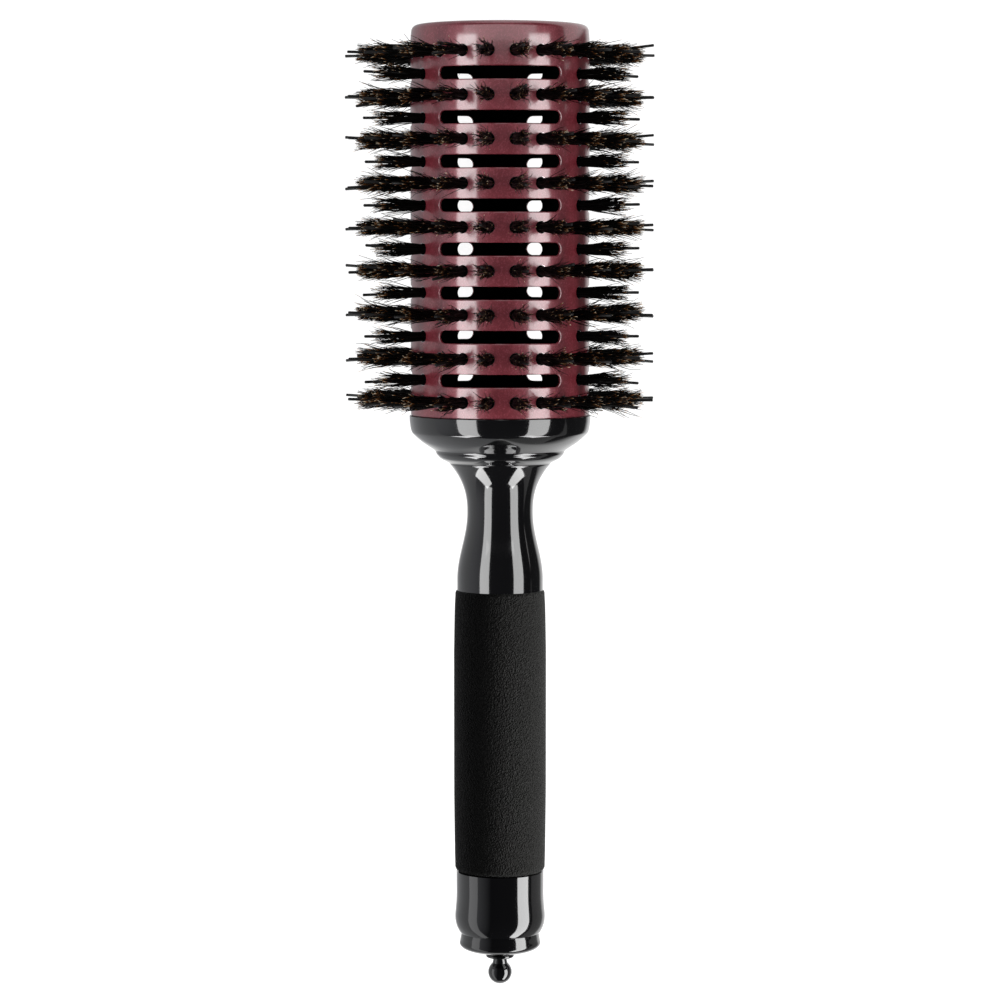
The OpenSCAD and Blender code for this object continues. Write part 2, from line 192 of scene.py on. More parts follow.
# %% Burgundy metallic lacquer
FLAKE = 0.3 * MM
PEEL = 2.5 * MM
RIPPLE = 0.02 * MM  # depth of the flakes' tilt and of the peel
PINK = (1.0, 0.47, 0.54, 1.0)  # tint of the flakes' reflections, in linear light


def burgundy_lacquer():
    material, tree = new_material("burgundy_metallic_lacquer_on_aluminium")
    place = add(tree, "ShaderNodeTexCoord").outputs["Object"]
    flakes = add(tree, "ShaderNodeTexVoronoi", [("Vector", place)], Scale=1 / FLAKE)
    peel = add(tree, "ShaderNodeTexNoise", [("Vector", place)], Scale=1 / PEEL, Detail=1.0)
    tint = add(
        tree, "ShaderNodeValToRGB", [("Fac", flakes.outputs["Color"])],
        [(0.1, "#651c24"), (0.6, "#75232c"), (0.95, "#903e4b")],
    )
    gloss = add(
        tree, "ShaderNodeMapRange", [("Value", flakes.outputs["Color"])], To_Min=0.38, To_Max=0.48,
    )
    tilt = add(
        tree, "ShaderNodeBump", [("Height", flakes.outputs["Color"])],
        Strength=0.12, Distance=RIPPLE,
    )
    wave = add(
        tree, "ShaderNodeBump", [("Height", peel.outputs["Fac"])], Strength=0.25, Distance=RIPPLE,
    )
    skin = add(
        tree, "ShaderNodeBsdfPrincipled",
        [
            ("Base Color", tint.outputs["Color"]),
            ("Roughness", gloss.outputs["Result"]),
            ("Normal", tilt.outputs["Normal"]),
            ("Coat Normal", wave.outputs["Normal"]),
        ],
        Metallic=0.1, IOR=1.6, Specular_IOR_Level=1.0, Specular_Tint=PINK,
        Coat_Weight=1.0, Coat_Roughness=0.13, Coat_IOR=1.95,
    )
    add(tree, "ShaderNodeOutputMaterial", [("Surface", skin.outputs["BSDF"])])
    return material


BURGUNDY = burgundy_lacquer()
print("material", BURGUNDY.name)

# %% [markdown]
# Where a punch went through the tube, the bare aluminium shows as a bright rim round the hole. It
# has the fine scratches of the tool, some 0.2 mm apart.

# %% Cut aluminium
SCRATCH = 0.2 * MM


def cut_aluminium():
    material, tree = new_material("cut_aluminium_edge")
    place = add(tree, "ShaderNodeTexCoord").outputs["Object"]
    scratch = add(tree, "ShaderNodeTexNoise", [("Vector", place)], Scale=1 / SCRATCH)
    tint = add(
        tree, "ShaderNodeValToRGB", [("Fac", scratch.outputs["Fac"])],
        [(0.3, "#b9a7aa"), (0.7, "#dfd6d8")],
    )
    gloss = add(
        tree, "ShaderNodeMapRange", [("Value", scratch.outputs["Fac"])], To_Min=0.15, To_Max=0.3,
    )
    skin = add(
        tree, "ShaderNodeBsdfPrincipled",
        [("Base Color", tint.outputs["Color"]), ("Roughness", gloss.outputs["Result"])],
        Metallic=1.0,
    )
    add(tree, "ShaderNodeOutputMaterial", [("Surface", skin.outputs["BSDF"])])
    return material


CUT_EDGE = cut_aluminium()
print("material", CUT_EDGE.name)

# %% [markdown]
# The handle is turned wood under several coats of black polyester lacquer, rubbed and polished.
# It reflects like black glass. A long, low swell of some 14 mm bends the streaks of the lamps a
# little, as hand polishing leaves it, and a haze of half a millimetre varies the gloss. The end
# ring and the knob are gloss mouldings, with less of the swell.

# %% Gloss blacks
SWELL, HAZE = 14 * MM, 0.5 * MM
SWELL_DEPTH = 0.2 * MM


def gloss_black(name, code, wave, rough):
    """code is the darker of its two blacks, wave the strength of the swell."""
    material, tree = new_material(name)
    place = add(tree, "ShaderNodeTexCoord").outputs["Object"]
    swell = add(tree, "ShaderNodeTexNoise", [("Vector", place)], Scale=1 / SWELL, Detail=1.0)
    haze = add(tree, "ShaderNodeTexNoise", [("Vector", place)], Scale=1 / HAZE, Detail=2.0)
    tint = add(
        tree, "ShaderNodeValToRGB", [("Fac", swell.outputs["Fac"])],
        [(0.3, code), (0.7, "#0b0b0c")],
    )
    gloss = add(
        tree, "ShaderNodeMapRange", [("Value", haze.outputs["Fac"])],
        To_Min=rough, To_Max=rough + 0.04,
    )
    tilt = add(
        tree, "ShaderNodeBump", [("Height", swell.outputs["Fac"])],
        Strength=wave, Distance=SWELL_DEPTH,
    )
    skin = add(
        tree, "ShaderNodeBsdfPrincipled",
        [
            ("Base Color", tint.outputs["Color"]),
            ("Roughness", gloss.outputs["Result"]),
            ("Normal", tilt.outputs["Normal"]),
        ],
        IOR=1.55, Coat_Weight=1.0, Coat_Roughness=0.03, Coat_IOR=1.6,
    )
    add(tree, "ShaderNodeOutputMaterial", [("Surface", skin.outputs["BSDF"])])
    return material


LACQUER = gloss_black("black_polyester_lacquer_on_turned_wood", "#070708", 0.12, 0.08)
MOULDING = gloss_black("gloss_black_moulded_abs", "#060607", 0.05, 0.1)
print("materials", LACQUER.name, MOULDING.name)

# %% [markdown]
# The grip is closed-cell EVA foam, extruded as a tube and ground round. Grinding opens the outer
# cells, so the skin is matt, with a fine grain of 0.45 mm and dents of 0.8 mm.

# %% EVA foam
FOAM_CELL = 0.45 * MM
FOAM_DENT = 0.8 * MM
FOAM_DEPTH = 0.34 * MM


def ground_foam():
    material, tree = new_material("ground_eva_foam")
    place = add(tree, "ShaderNodeTexCoord").outputs["Object"]
    cells = add(tree, "ShaderNodeTexVoronoi", [("Vector", place)], Scale=1 / FOAM_CELL)
    dents = add(tree, "ShaderNodeTexNoise", [("Vector", place)], Scale=1 / FOAM_DENT, Detail=6.0)
    height = add(
        tree, "ShaderNodeMath", [(0, cells.outputs["Distance"]), (1, dents.outputs["Fac"])],
        operation="ADD",
    )
    tilt = add(
        tree, "ShaderNodeBump", [("Height", height.outputs["Value"])],
        Strength=1.0, Distance=FOAM_DEPTH,
    )
    tint = add(
        tree, "ShaderNodeValToRGB", [("Fac", dents.outputs["Fac"])],
        [(0.35, "#0c0c0a"), (0.52, "#11110f"), (0.7, "#191917")],
    )
    gloss = add(
        tree, "ShaderNodeMapRange", [("Value", dents.outputs["Fac"])], To_Min=0.5, To_Max=0.68,
    )
    skin = add(
        tree, "ShaderNodeBsdfPrincipled",
        [
            ("Base Color", tint.outputs["Color"]),
            ("Roughness", gloss.outputs["Result"]),
            ("Normal", tilt.outputs["Normal"]),
        ],
        Specular_IOR_Level=0.12, Sheen_Weight=0.06, Sheen_Roughness=0.5,
    )
    add(tree, "ShaderNodeOutputMaterial", [("Surface", skin.outputs["BSDF"])])
    return material


FOAM = ground_foam()
print("material", FOAM.name)

# %% [markdown]
# Boar bristle is keratin, like hair: black along most of its length, and brown to gold where the
# tip has split and dried. Each bristle carries two numbers: how far along it a point lies, and a
# tone of its own. The tone decides how far the pale tip reaches down, so most stay dark.

# %% Boar bristle


def boar_bristle():
    material, tree = new_material("boar_bristle")
    along = add(tree, "ShaderNodeAttribute", attribute_name="along").outputs["Fac"]
    tone = add(tree, "ShaderNodeAttribute", attribute_name="tone").outputs["Fac"]
    share = add(tree, "ShaderNodeMapRange", [("Value", tone)], To_Min=0.76, To_Max=1.04)
    reach = add(
        tree, "ShaderNodeMath", [(0, along), (1, share.outputs["Result"])], operation="MULTIPLY",
    )
    tint = add(
        tree, "ShaderNodeValToRGB", [("Fac", reach.outputs["Value"])],
        [
            (0.0, "#030303"), (0.88, "#050504"), (0.92, "#4a2c16"), (0.96, "#9a6430"),
            (1.0, "#f4e6cc"),
        ],
    )
    gloss = add(tree, "ShaderNodeMapRange", [("Value", tone)], To_Min=0.3, To_Max=0.5)
    skin = add(
        tree, "ShaderNodeBsdfPrincipled",
        [("Base Color", tint.outputs["Color"]), ("Roughness", gloss.outputs["Result"])],
        IOR=1.55, Specular_IOR_Level=0.06,
    )
    add(tree, "ShaderNodeOutputMaterial", [("Surface", skin.outputs["BSDF"])])
    return material


BRISTLE = boar_bristle()
print("material", BRISTLE.name)

# %% [markdown]
# The pins and the pieces inside the brush are plain materials. Each has a fine mottle between two
# colours and two roughnesses. The core is black polyamide, but it is made darker still and without
# any shine. That is painted shade, so that the inside of the barrel stays deep black.

# %% Plain materials


def plain(name, dark, light, grain, low, high, **sockets):
    """grain is the size of the mottle, low and high are the roughness at its two ends."""
    material, tree = new_material(name)
    place = add(tree, "ShaderNodeTexCoord").outputs["Object"]
    noise = add(tree, "ShaderNodeTexNoise", [("Vector", place)], Scale=1 / grain, Detail=3.0)
    tint = add(
        tree, "ShaderNodeValToRGB", [("Fac", noise.outputs["Fac"])], [(0.3, dark), (0.7, light)],
    )
    gloss = add(
        tree, "ShaderNodeMapRange", [("Value", noise.outputs["Fac"])], To_Min=low, To_Max=high,
    )
    skin = add(
        tree, "ShaderNodeBsdfPrincipled",
        [("Base Color", tint.outputs["Color"]), ("Roughness", gloss.outputs["Result"])], **sockets,
    )
    add(tree, "ShaderNodeOutputMaterial", [("Surface", skin.outputs["BSDF"])])
    return material


NYLON_PIN = plain(
    "black_nylon_pin", "#080808", "#101010", 0.6 * MM, 0.25, 0.4, Specular_IOR_Level=0.25,
)
# The core's colours and its lack of shine are partly the black of the plastic and partly painted
# shade inside the barrel.
CORE_BLACK_AND_SHADE = plain(
    "moulded_black_polyamide", "#040504", "#070807", 1.5 * MM, 0.9, 1.0, Specular_IOR_Level=0.0,
)
WIRE = plain("brass_anchor_wire", "#a8853f", "#c9a85c", 0.5 * MM, 0.3, 0.45, Metallic=1.0)
ZINC = plain("zinc_plated_steel", "#8d9094", "#b4b7bb", 0.8 * MM, 0.25, 0.4, Metallic=1.0)
ROD = plain("polished_steel_rod", "#b9bbbe", "#d2d4d6", 0.7 * MM, 0.1, 0.2, Metallic=1.0)
BUSH = plain("natural_nylon_bush", "#d2cec2", "#e0ddd3", 1.0 * MM, 0.4, 0.55, IOR=1.53)
print("plain materials", [m.name for m in (NYLON_PIN, CORE_BLACK_AND_SHADE, WIRE, ZINC, ROD, BUSH)])

# %% [markdown]
# Pieces that the scene doesn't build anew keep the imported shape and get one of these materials.

# %% Pieces kept as packed
kept = {
    "bristle_core": CORE_BLACK_AND_SHADE, "core_hub": CORE_BLACK_AND_SHADE, "tuft_anchors": WIRE, "hub_washer": ZINC,
    "hub_screw": ZINC, "sectioning_pin": ROD, "pin_bush": BUSH,
}
for node, material in kept.items():
    nodes[node].data.materials.clear()
    nodes[node].data.materials.append(material)
print("dressed", len(kept), "packed pieces")

# %% [markdown]
# The other pieces are built anew. Each new piece rides on a body of the model and takes the place
# of an imported node.

# %% New pieces


def piece(name, body, material, mesh, node):
    """Links a mesh as a piece of the brush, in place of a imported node."""
    obj = bpy.data.objects.new(name, mesh)
    bpy.context.scene.collection.objects.link(obj)
    for each in material if isinstance(material, list) else [material]:
        mesh.materials.append(each)
    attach(obj, body)
    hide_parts(node)
    return obj


print("nodes to replace", len(nodes) - len(kept))

# %% [markdown]
# Everything turned is made as a lathe makes it: an outline of radii and places along the axis,
# swept round. There are many more steps than the working model needs, so that streaks of light
# run smoothly over it.

# %% Lathe
LATHE_STEPS = 192
SHARP_ANGLE = 35  # edges bent by more than this stay crisp, in degrees


def lathe_mesh(name, outline, steps=LATHE_STEPS):
    """Sweeps (radius, place along Y) points round the brush's axis. A radius of 0 closes it."""
    bm = bmesh.new()
    rings = []
    for r, y in outline:
        turns = [2 * math.pi * k / steps for k in range(steps if r > 1e-4 else 1)]
        rings.append([
            bm.verts.new((r * math.sin(a) * MM, y * MM, (AXIS_Z + r * math.cos(a)) * MM))
            for a in turns
        ])
    for one, two in zip(rings, rings[1:]):
        for k in range(steps):
            j = (k + 1) % steps
            corners = one[k % len(one)], two[k % len(two)], two[j % len(two)], one[j % len(one)]
            bm.faces.new(list(dict.fromkeys(corners)))
    bmesh.ops.recalc_face_normals(bm, faces=bm.faces)
    mesh = bpy.data.meshes.new(name)
    bm.to_mesh(mesh)
    bm.free()
    mesh.polygons.foreach_set("use_smooth", [True] * len(mesh.polygons))
    mesh.set_sharp_from_angle(angle=math.radians(SHARP_ANGLE))
    return mesh


print("lathe of", LATHE_STEPS, "steps")

# %% [markdown]
# Outlines are drawn with smooth curves through points, and with arcs. On the handle they are
# given as a radius and a depth below the barrel's lower end.

# %% Outline tools


def curve(points, steps):
    """A smooth curve through points, as a draughtsman's spline draws it."""
    p = [np.array(q, float) for q in points]
    p = [p[0]] + p + [p[-1]]
    line = []
    for a, b, c, d in zip(p, p[1:], p[2:], p[3:]):
        for t in np.arange(steps) / steps:
            line.append(
                0.5 * (2 * b + (c - a) * t + (2 * a - 5 * b + 4 * c - d) * t * t
                       + (3 * b - a - 3 * c + d) * t ** 3)
            )
    return [tuple(q) for q in line] + [tuple(p[-1])]


def arc(centre, r, start, end, steps=8):
    """Points of an arc about a centre, angles in degrees."""
    turn = [math.radians(start + (end - start) * k / steps) for k in range(steps + 1)]
    return [(centre[0] + r * math.cos(a), centre[1] + r * math.sin(a)) for a in turn]


def below(points):
    """Radius and depth below the barrel, as radius and place along Y."""
    return [(r, SEAM_Y - depth) for r, depth in points]


print("a quarter arc", arc((0, 0), 1.0, 0, 90, 2))

# %% [markdown]
# The handle's upper part goes from the collar to the grip. The outlines stand on the boxes of the
# packed handle and grip, and on a few sizes of their own: the height of the collar, the step under
# it, the top and the waist of the neck, and the hand, on which the foam sits.

# %% Handle sizes
hand_low, hand_high = box_mm("handle_body")
grip_low, grip_high = box_mm("foam_grip")
collar = (hand_high[2] - hand_low[2]) / 2
grip_start, grip_end = SEAM_Y - grip_high[1], SEAM_Y - grip_low[1]
COLLAR_H = 4.3
STEP_R, STEP_DEPTH, STEP_L = 18.3, 9.9, 4
NECK_TOP_R, NECK_R, NECK_DEPTH = 14.0, 9.25, 27.4
HAND_R = 12.1
print("collar radius", round(collar, 2))
print("grip from", round(grip_start, 1), "to", round(grip_end, 1), "below the barrel")

# %% [markdown]
# The collar is an upright band with a rounded lower edge, then comes a sloping underside and a
# small step with a rounded edge.

# %% Collar and step
neck_top = STEP_DEPTH + STEP_L
collar_side = curve([
    (collar - 0.3, 0.0), (collar - 0.06, 0.12), (collar, 0.45), (collar - 0.1, COLLAR_H / 2),
    (collar - 0.5, COLLAR_H), (collar - 1.2, COLLAR_H + 1.1),
    ((collar + STEP_R) / 2, (COLLAR_H + STEP_DEPTH) / 2 + 0.4),
    (STEP_R + 0.7, STEP_DEPTH - 0.5), (STEP_R + 0.05, STEP_DEPTH - 0.05),
], 6)
step_side = curve([
    (STEP_R - 0.25, STEP_DEPTH + 0.5), (STEP_R - 0.6, STEP_DEPTH + 1.2),
    (STEP_R - 1.7, STEP_DEPTH + 2.3), (NECK_TOP_R + 0.5, STEP_DEPTH + 3.4), (NECK_TOP_R, neck_top),
], 6)
print("outline points of the collar", len(collar_side), "and the step", len(step_side))

# %% [markdown]
# The neck sweeps in steeply to its waist, then swells again to the hand in a soft wave that ends
# a little before the grip. The outline starts under the barrel's wall and ends under the foam.

# %% Neck
NECK_STEPS = 40
NECK_SWEEP = 2.4  # how steeply the neck sweeps in, as a power
WALL_COVER = 1.5  # how far the collar's face reaches in under the barrel
SWELL_STOP, UNDER_FOAM = 2.6, 0.6  # where the swell ends before the grip, and the outline after
swell_l = grip_start - SWELL_STOP - NECK_DEPTH
stages = np.arange(1, NECK_STEPS + 1) / NECK_STEPS
neck_side = [
    (
        NECK_R + (NECK_TOP_R - NECK_R) * (1 - t) ** NECK_SWEEP,
        neck_top + (NECK_DEPTH - neck_top) * t,
    )
    for t in stages
] + [
    (NECK_R + (HAND_R - NECK_R) * (1 - math.cos(math.pi * t)) / 2, NECK_DEPTH + swell_l * t)
    for t in stages
]
upper_outline = (
    [(BARREL_R - WALL_COVER, 0), (collar - 0.32, 0)] + collar_side + step_side + neck_side
    + [(HAND_R, grip_start + UNDER_FOAM)]
)
piece(
    "handle_collar_and_neck", "brush", LACQUER, lathe_mesh("handle_upper", below(upper_outline)),
    "handle_body",
)
print("waist of the neck", 2 * NECK_R, "length of the swell", round(swell_l, 1))

# %% [markdown]
# Behind the grip the handle ends in a short tail with a bulb and a groove. The flat ends of tail
# and end ring run in to HIDDEN_R, out of sight between the two.

# %% Tail
GROOVE_R = 10.9
BULB_R, TAIL_R = 12.75, 12.35
HIDDEN_R = 8.0
tail_end = SEAM_Y - hand_low[1]
tail = tail_end - grip_end
tail_outline = (
    [(TAIL_R - 1.2, grip_end - 0.3)]
    + curve([
        (TAIL_R - 0.5, grip_end + 0.08), (TAIL_R - 0.1, grip_end + 0.3), (TAIL_R, grip_end + 0.8),
        (TAIL_R, grip_end + tail * 0.4), ((TAIL_R + BULB_R) / 2, grip_end + tail * 0.58),
        (BULB_R, grip_end + tail * 0.74), (BULB_R - 0.35, grip_end + tail * 0.87),
        (GROOVE_R + 0.6, tail_end - 0.4), (GROOVE_R, tail_end),
    ], 8)
    + [(HIDDEN_R, tail_end)]
)
piece(
    "handle_tail", "brush", LACQUER, lathe_mesh("handle_tail", below(tail_outline)),
    "handle_body",
)
print("tail length", round(tail, 2))

# %% [markdown]
# The end ring flares a little from the groove and closes in a low dome, which ends round the
# knob's flange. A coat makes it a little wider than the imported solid.

# %% End ring
COAT = 0.15
DOME_R = 3.2
ring_low, ring_high = box_mm("tail_ferrule")
ring_r = (ring_high[2] - ring_low[2]) / 2 + COAT
ring_end = SEAM_Y - ring_low[1]
ring_l = ring_end - tail_end
ring_outline = [(HIDDEN_R, tail_end), (GROOVE_R, tail_end)] + curve([
    (GROOVE_R + 0.05, tail_end + 0.2), (GROOVE_R + 0.2, tail_end + 0.8),
    (ring_r - 0.2, tail_end + ring_l * 0.32), (ring_r, tail_end + ring_l * 0.46),
    (ring_r - 0.2, tail_end + ring_l * 0.57), (ring_r - 0.9, tail_end + ring_l * 0.68),
    (ring_r - 2.4, tail_end + ring_l * 0.78), (ring_r - 5, tail_end + ring_l * 0.88),
    (DOME_R, ring_end),
], 6)
piece(
    "end_ring", "brush", MOULDING, lathe_mesh("end_ring", below(ring_outline)),
    "tail_ferrule",
)
print("end ring radius", round(ring_r, 2), "length", round(ring_l, 2))

# %% [markdown]
# The knob is turned in one with its flange: a thin disc, a neck that widens, and a ball.

# %% Pull knob
knob_low, knob_high = box_mm("pin_knob")
knob_face, knob_end = SEAM_Y - knob_high[1], SEAM_Y - knob_low[1]
FLANGE_R, FLANGE_T = 3.95, 0.9
KNOB_NECK_R = 1.95
BALL_R = 3.35
ROD_SEAT_R = 1.3
KNOB_STEPS = 96
under = knob_face + FLANGE_T
BALL_GAP = 4  # degrees between the neck's side and the start of the ball
ball_start = math.degrees(math.asin(KNOB_NECK_R / BALL_R)) + BALL_GAP
flange_side = curve([
    (FLANGE_R - 0.2, knob_face + 0.02), (FLANGE_R, knob_face + 0.25), (FLANGE_R, under - 0.25),
    (FLANGE_R - 0.3, under),
], 4)
knob_neck = curve([
    (KNOB_NECK_R + 0.4, under + 0.05), (KNOB_NECK_R + 0.1, under + 0.3), (KNOB_NECK_R, under + 0.7),
], 4)
ball_side = arc((0, knob_end - BALL_R), BALL_R, ball_start - 90, 90, 40)
knob_outline = (
    [(ROD_SEAT_R, knob_face), (FLANGE_R - 0.25, knob_face)] + flange_side + knob_neck + ball_side
)
piece(
    "pull_knob", "sectioning_tool", MOULDING,
    lathe_mesh("pull_knob", below(knob_outline), steps=KNOB_STEPS), "pin_knob",
)
print("knob from", round(knob_face, 1), "to", round(knob_end, 1))

# %% [markdown]
# The foam grip is stretched over the handle. Its ends are cut square and rounded by grinding, to
# END_R, and it stands a little proud of the lacquer at both. It is straight over its middle and a
# little thinner at its ends. Its faces run in under the lacquer's skin by TUCK, out of sight.

# %% Foam grip
grip_r = (grip_high[2] - grip_low[2]) / 2
grip_l = grip_end - grip_start
END_R = 1.4
TUCK = 1.6
upper_r, lower_r = grip_r - 0.4, grip_r - 0.3
grip_outline = (
    [(HAND_R - TUCK, grip_start + 0.05)]
    + arc((upper_r - END_R, grip_start + END_R), END_R, -90, 0, 10)
    + curve([
        (upper_r, grip_start + 1.2 * END_R), (upper_r + 0.2, grip_start + grip_l * 0.08),
        (grip_r, grip_start + grip_l * 0.22),
    ], 14)
    + curve([
        (grip_r, grip_end - grip_l * 0.28), (lower_r + 0.1, grip_end - grip_l * 0.08),
        (lower_r, grip_end - 1.2 * END_R),
    ], 14)
    + arc((lower_r - END_R, grip_end - END_R), END_R, 0, 90, 10)
    + [(TAIL_R - TUCK, grip_end - 0.05)]
)
grip = piece(
    "foam_sleeve", "brush", FOAM, lathe_mesh("foam_sleeve", below(grip_outline)),
    "foam_grip",
)
print("grip radius", round(grip_r, 2), "length", round(grip_l, 2))

# %% [markdown]
# The barrel is made flat and then rolled, as sheet metal would be: a 2D curve with every hole and
# slot as an inner outline is filled and given a small bevel, and later wrapped round the axis.
# That gives clean round holes with bright edges, which a boolean on a round tube doesn't. The
# sheet starts at a seam that runs between two columns of tufts, clear of every slot.

# %% Flat sheet
WALL = 0.8
HOLE_R = 1.45
SLOT_W, SLOT_HALF_ANGLE = 3.5, 41.6
BEVEL = 0.3
CROWN_R, CROWN_ANGLE = 30, 8
RIM_R, RIM_REACH = 1.8, 3.6
SEAM_ANGLE = 180 + 180 / RING_TUFTS + TUFT_TURN
per_degree = math.pi * BARREL_R / 180
sheet_w = 360 * per_degree
crown_start = BARREL_L - RIM_R - (CROWN_R - RIM_R) * math.sin(math.radians(CROWN_ANGLE))
sheet_l = crown_start + CROWN_R * math.radians(CROWN_ANGLE)


def flat_x(angle):
    """Where an angle round the barrel lies on the flat sheet."""
    return ((angle - SEAM_ANGLE) % 360) * per_degree


def circle(x, y, r):
    """A round hole of 36 points."""
    return arc((x, y), r, 0, 350, 35)


def stadium(x, y):
    """A slot: two straight sides and two round ends."""
    r = SLOT_W / 2
    reach = SLOT_HALF_ANGLE * per_degree - r
    return arc((x + reach, y), r, -90, 90, 14) + arc((x - reach, y), r, 90, 270, 14)


holes = [(flat_x(angle), y - SEAM_Y) for name, y, angles in rows for angle in angles]
slots = [(flat_x(i * 360 / SLOTS_ROUND), y - SEAM_Y) for y in bridge_y for i in range(SLOTS_ROUND)]
print("holes", len(holes), "slots", len(slots), "sheet", round(sheet_w, 1), "x", round(sheet_l, 1))

# %% [markdown]
# Blender fills the outlines. The sheet is made one millimetre too long, so that its bevelled end
# can be trimmed off where the rolled rim carries on.

# %% Fill the sheet
TRIM = 1
outlines = bpy.data.curves.new("barrel_sheet", "CURVE")
outlines.dimensions = "2D"
outlines.fill_mode = "BOTH"
outlines.extrude = WALL / 2 - BEVEL
outlines.bevel_depth = BEVEL
outlines.bevel_resolution = 2
outlines.offset = -BEVEL
loops = [[(0, 0), (sheet_w, 0), (sheet_w, sheet_l + TRIM), (0, sheet_l + TRIM)]]
loops += [circle(x, y, HOLE_R) for x, y in holes] + [stadium(x, y) for x, y in slots]
for points in loops:
    spline = outlines.splines.new("POLY")
    spline.points.add(len(points) - 1)
    spline.points.foreach_set("co", [c for x, y in points for c in (x, y, 0, 1)])
    spline.use_cyclic_u = True
sheet = bpy.data.objects.new("barrel_sheet", outlines)
bpy.context.scene.collection.objects.link(sheet)
bpy.context.view_layer.update()
filled = sheet.evaluated_get(bpy.context.evaluated_depsgraph_get())
flat = bpy.data.meshes.new_from_object(filled)
bpy.data.objects.remove(sheet)
print("flat sheet points", len(flat.vertices))

# %% [markdown]
# The sheet is cut into narrow strips, so that it can bend, with six more cuts across the crown,
# and then trimmed.

# %% Cut into strips
STRIP_ANGLE = 2.5
CROWN_CUTS = 6
bm = bmesh.new()
bm.from_mesh(flat)
bmesh.ops.remove_doubles(bm, verts=bm.verts, dist=1e-4)
strips = int(360 / STRIP_ANGLE)
cuts = [((sheet_w * k / strips, 0, 0), (1, 0, 0)) for k in range(1, strips)]
cuts += [
    ((0, crown_start + (sheet_l - crown_start) * k / CROWN_CUTS, 0), (0, 1, 0))
    for k in range(CROWN_CUTS + 1)
]
for place, across in cuts:
    geometry = bm.verts[:] + bm.edges[:] + bm.faces[:]
    bmesh.ops.bisect_plane(bm, geom=geometry, plane_co=place, plane_no=across, dist=1e-5)
over = [f for f in bm.faces if f.calc_center_median().y > sheet_l]
bmesh.ops.delete(bm, geom=over, context="FACES")
print("strips", strips, "faces", len(bm.faces))

# %% [markdown]
# The cut metal shows only on the bevels and walls of the tuft holes: in the slots the lacquer
# covers the edge. So the metal goes on faces that aren't level and lie near a hole's middle.

# %% Bright hole edges
LEVEL = 0.99
near = kdtree.KDTree(len(holes))
for i, (x, y) in enumerate(holes):
    near.insert((x, y, 0), i)
near.balance()
for face in bm.faces:
    level = abs(face.normal.z) > LEVEL
    to_hole = near.find(face.calc_center_median() * Vector((1, 1, 0)))[2]
    face.material_index = 1 if not level and to_hole < HOLE_R + 2 * BEVEL else 0
    face.smooth = True
print("bright faces", sum(face.material_index for face in bm.faces))

# %% [markdown]
# Each point is then bent round the axis. Past the last ring the tube is drawn in by a slow crown,
# an arc whose slope grows from nothing to eight degrees. Edges bent by more than SHEET_SHARP
# degrees stay crisp.

# %% Wrap the sheet
SHEET_SHARP = 8
for vert in bm.verts:
    x, y, z = vert.co
    around = math.radians(SEAM_ANGLE + x / per_degree)
    lean = max(0.0, (y - crown_start) / CROWN_R)
    deep = WALL / 2 - z
    r = BARREL_R - CROWN_R * (1 - math.cos(lean)) - deep * math.cos(lean)
    along = min(y, crown_start) + (CROWN_R - deep) * math.sin(lean)
    vert.co = Vector((r * math.sin(around), SEAM_Y + along, AXIS_Z + r * math.cos(around))) * MM
bmesh.ops.remove_doubles(bm, verts=bm.verts, dist=2e-6)
bmesh.ops.recalc_face_normals(bm, faces=bm.faces)
shell = bpy.data.meshes.new("barrel_shell")
bm.to_mesh(shell)
bm.free()
shell.set_sharp_from_angle(angle=math.radians(SHEET_SHARP))
piece("barrel_shell", "brush", [BURGUNDY, CUT_EDGE], shell, "barrel_sleeve")
print("barrel faces", len(shell.polygons))

# %% [markdown]
# The rolled rim carries the crown on: a tight arc, then a flat ring that turns in over the core
# with a small rounded lip.

# %% Rolled rim
LIP = 0.15
bend = (
    BARREL_R - CROWN_R + (CROWN_R - RIM_R) * math.cos(math.radians(CROWN_ANGLE)), BARREL_L - RIM_R,
)
rim_outline = (
    arc(bend, RIM_R, CROWN_ANGLE, 90, 14)
    + arc((BARREL_R - RIM_REACH + LIP, BARREL_L - LIP), LIP, 90, 180, 4)
    + [(BARREL_R - RIM_REACH, BARREL_L - WALL)]
)
rim = lathe_mesh("barrel_rim", [(r, SEAM_Y + along) for r, along in rim_outline])
piece("barrel_rim", "brush", BURGUNDY, rim, "barrel_sleeve")
print("rim from radius", round(bend[0] + RIM_R, 2), "to", round(BARREL_R - RIM_REACH, 2))

# %% [markdown]
# A bristle or pin is a thin tube along a line of points. All tubes of a row are worked out as
# arrays, because one object for each would be far too many. unit() gives the directions outward
# and sideways at an angle round the barrel.

# %% Places on the barrel
ALONG = np.array([0.0, 1.0, 0.0])


def unit(angle):
    """The directions outward and sideways at an angle from the top, in degrees."""
    a = math.radians(angle)
    return np.array([math.sin(a), 0.0, math.cos(a)]), np.array([math.cos(a), 0.0, -math.sin(a)])


def place_lines(y, angle, height, offset):
    """Lines of points above one hole. height is (count, joints), and offset (count, joints, 2)
    goes sideways and along the brush."""
    out, side = unit(angle)
    centre = out * BARREL_R + ALONG * y + np.array([0.0, 0.0, AXIS_Z])
    return (
        centre + height[:, :, None] * out + offset[:, :, 0:1] * side + offset[:, :, 1:2] * ALONG
    )


print("outward and sideways at 90 degrees", unit(90))

# %% [markdown]
# One mesh holds all tubes of a row. A bristle needs only three sides, as it is some 0.2 mm thick.
# Each tube is turned about itself by a random angle, and its points carry the two numbers that
# the bristles' material reads.

# %% Tubes
BRISTLE_SIDES, PIN_SIDES = 3, 8
rng = np.random.default_rng(20)


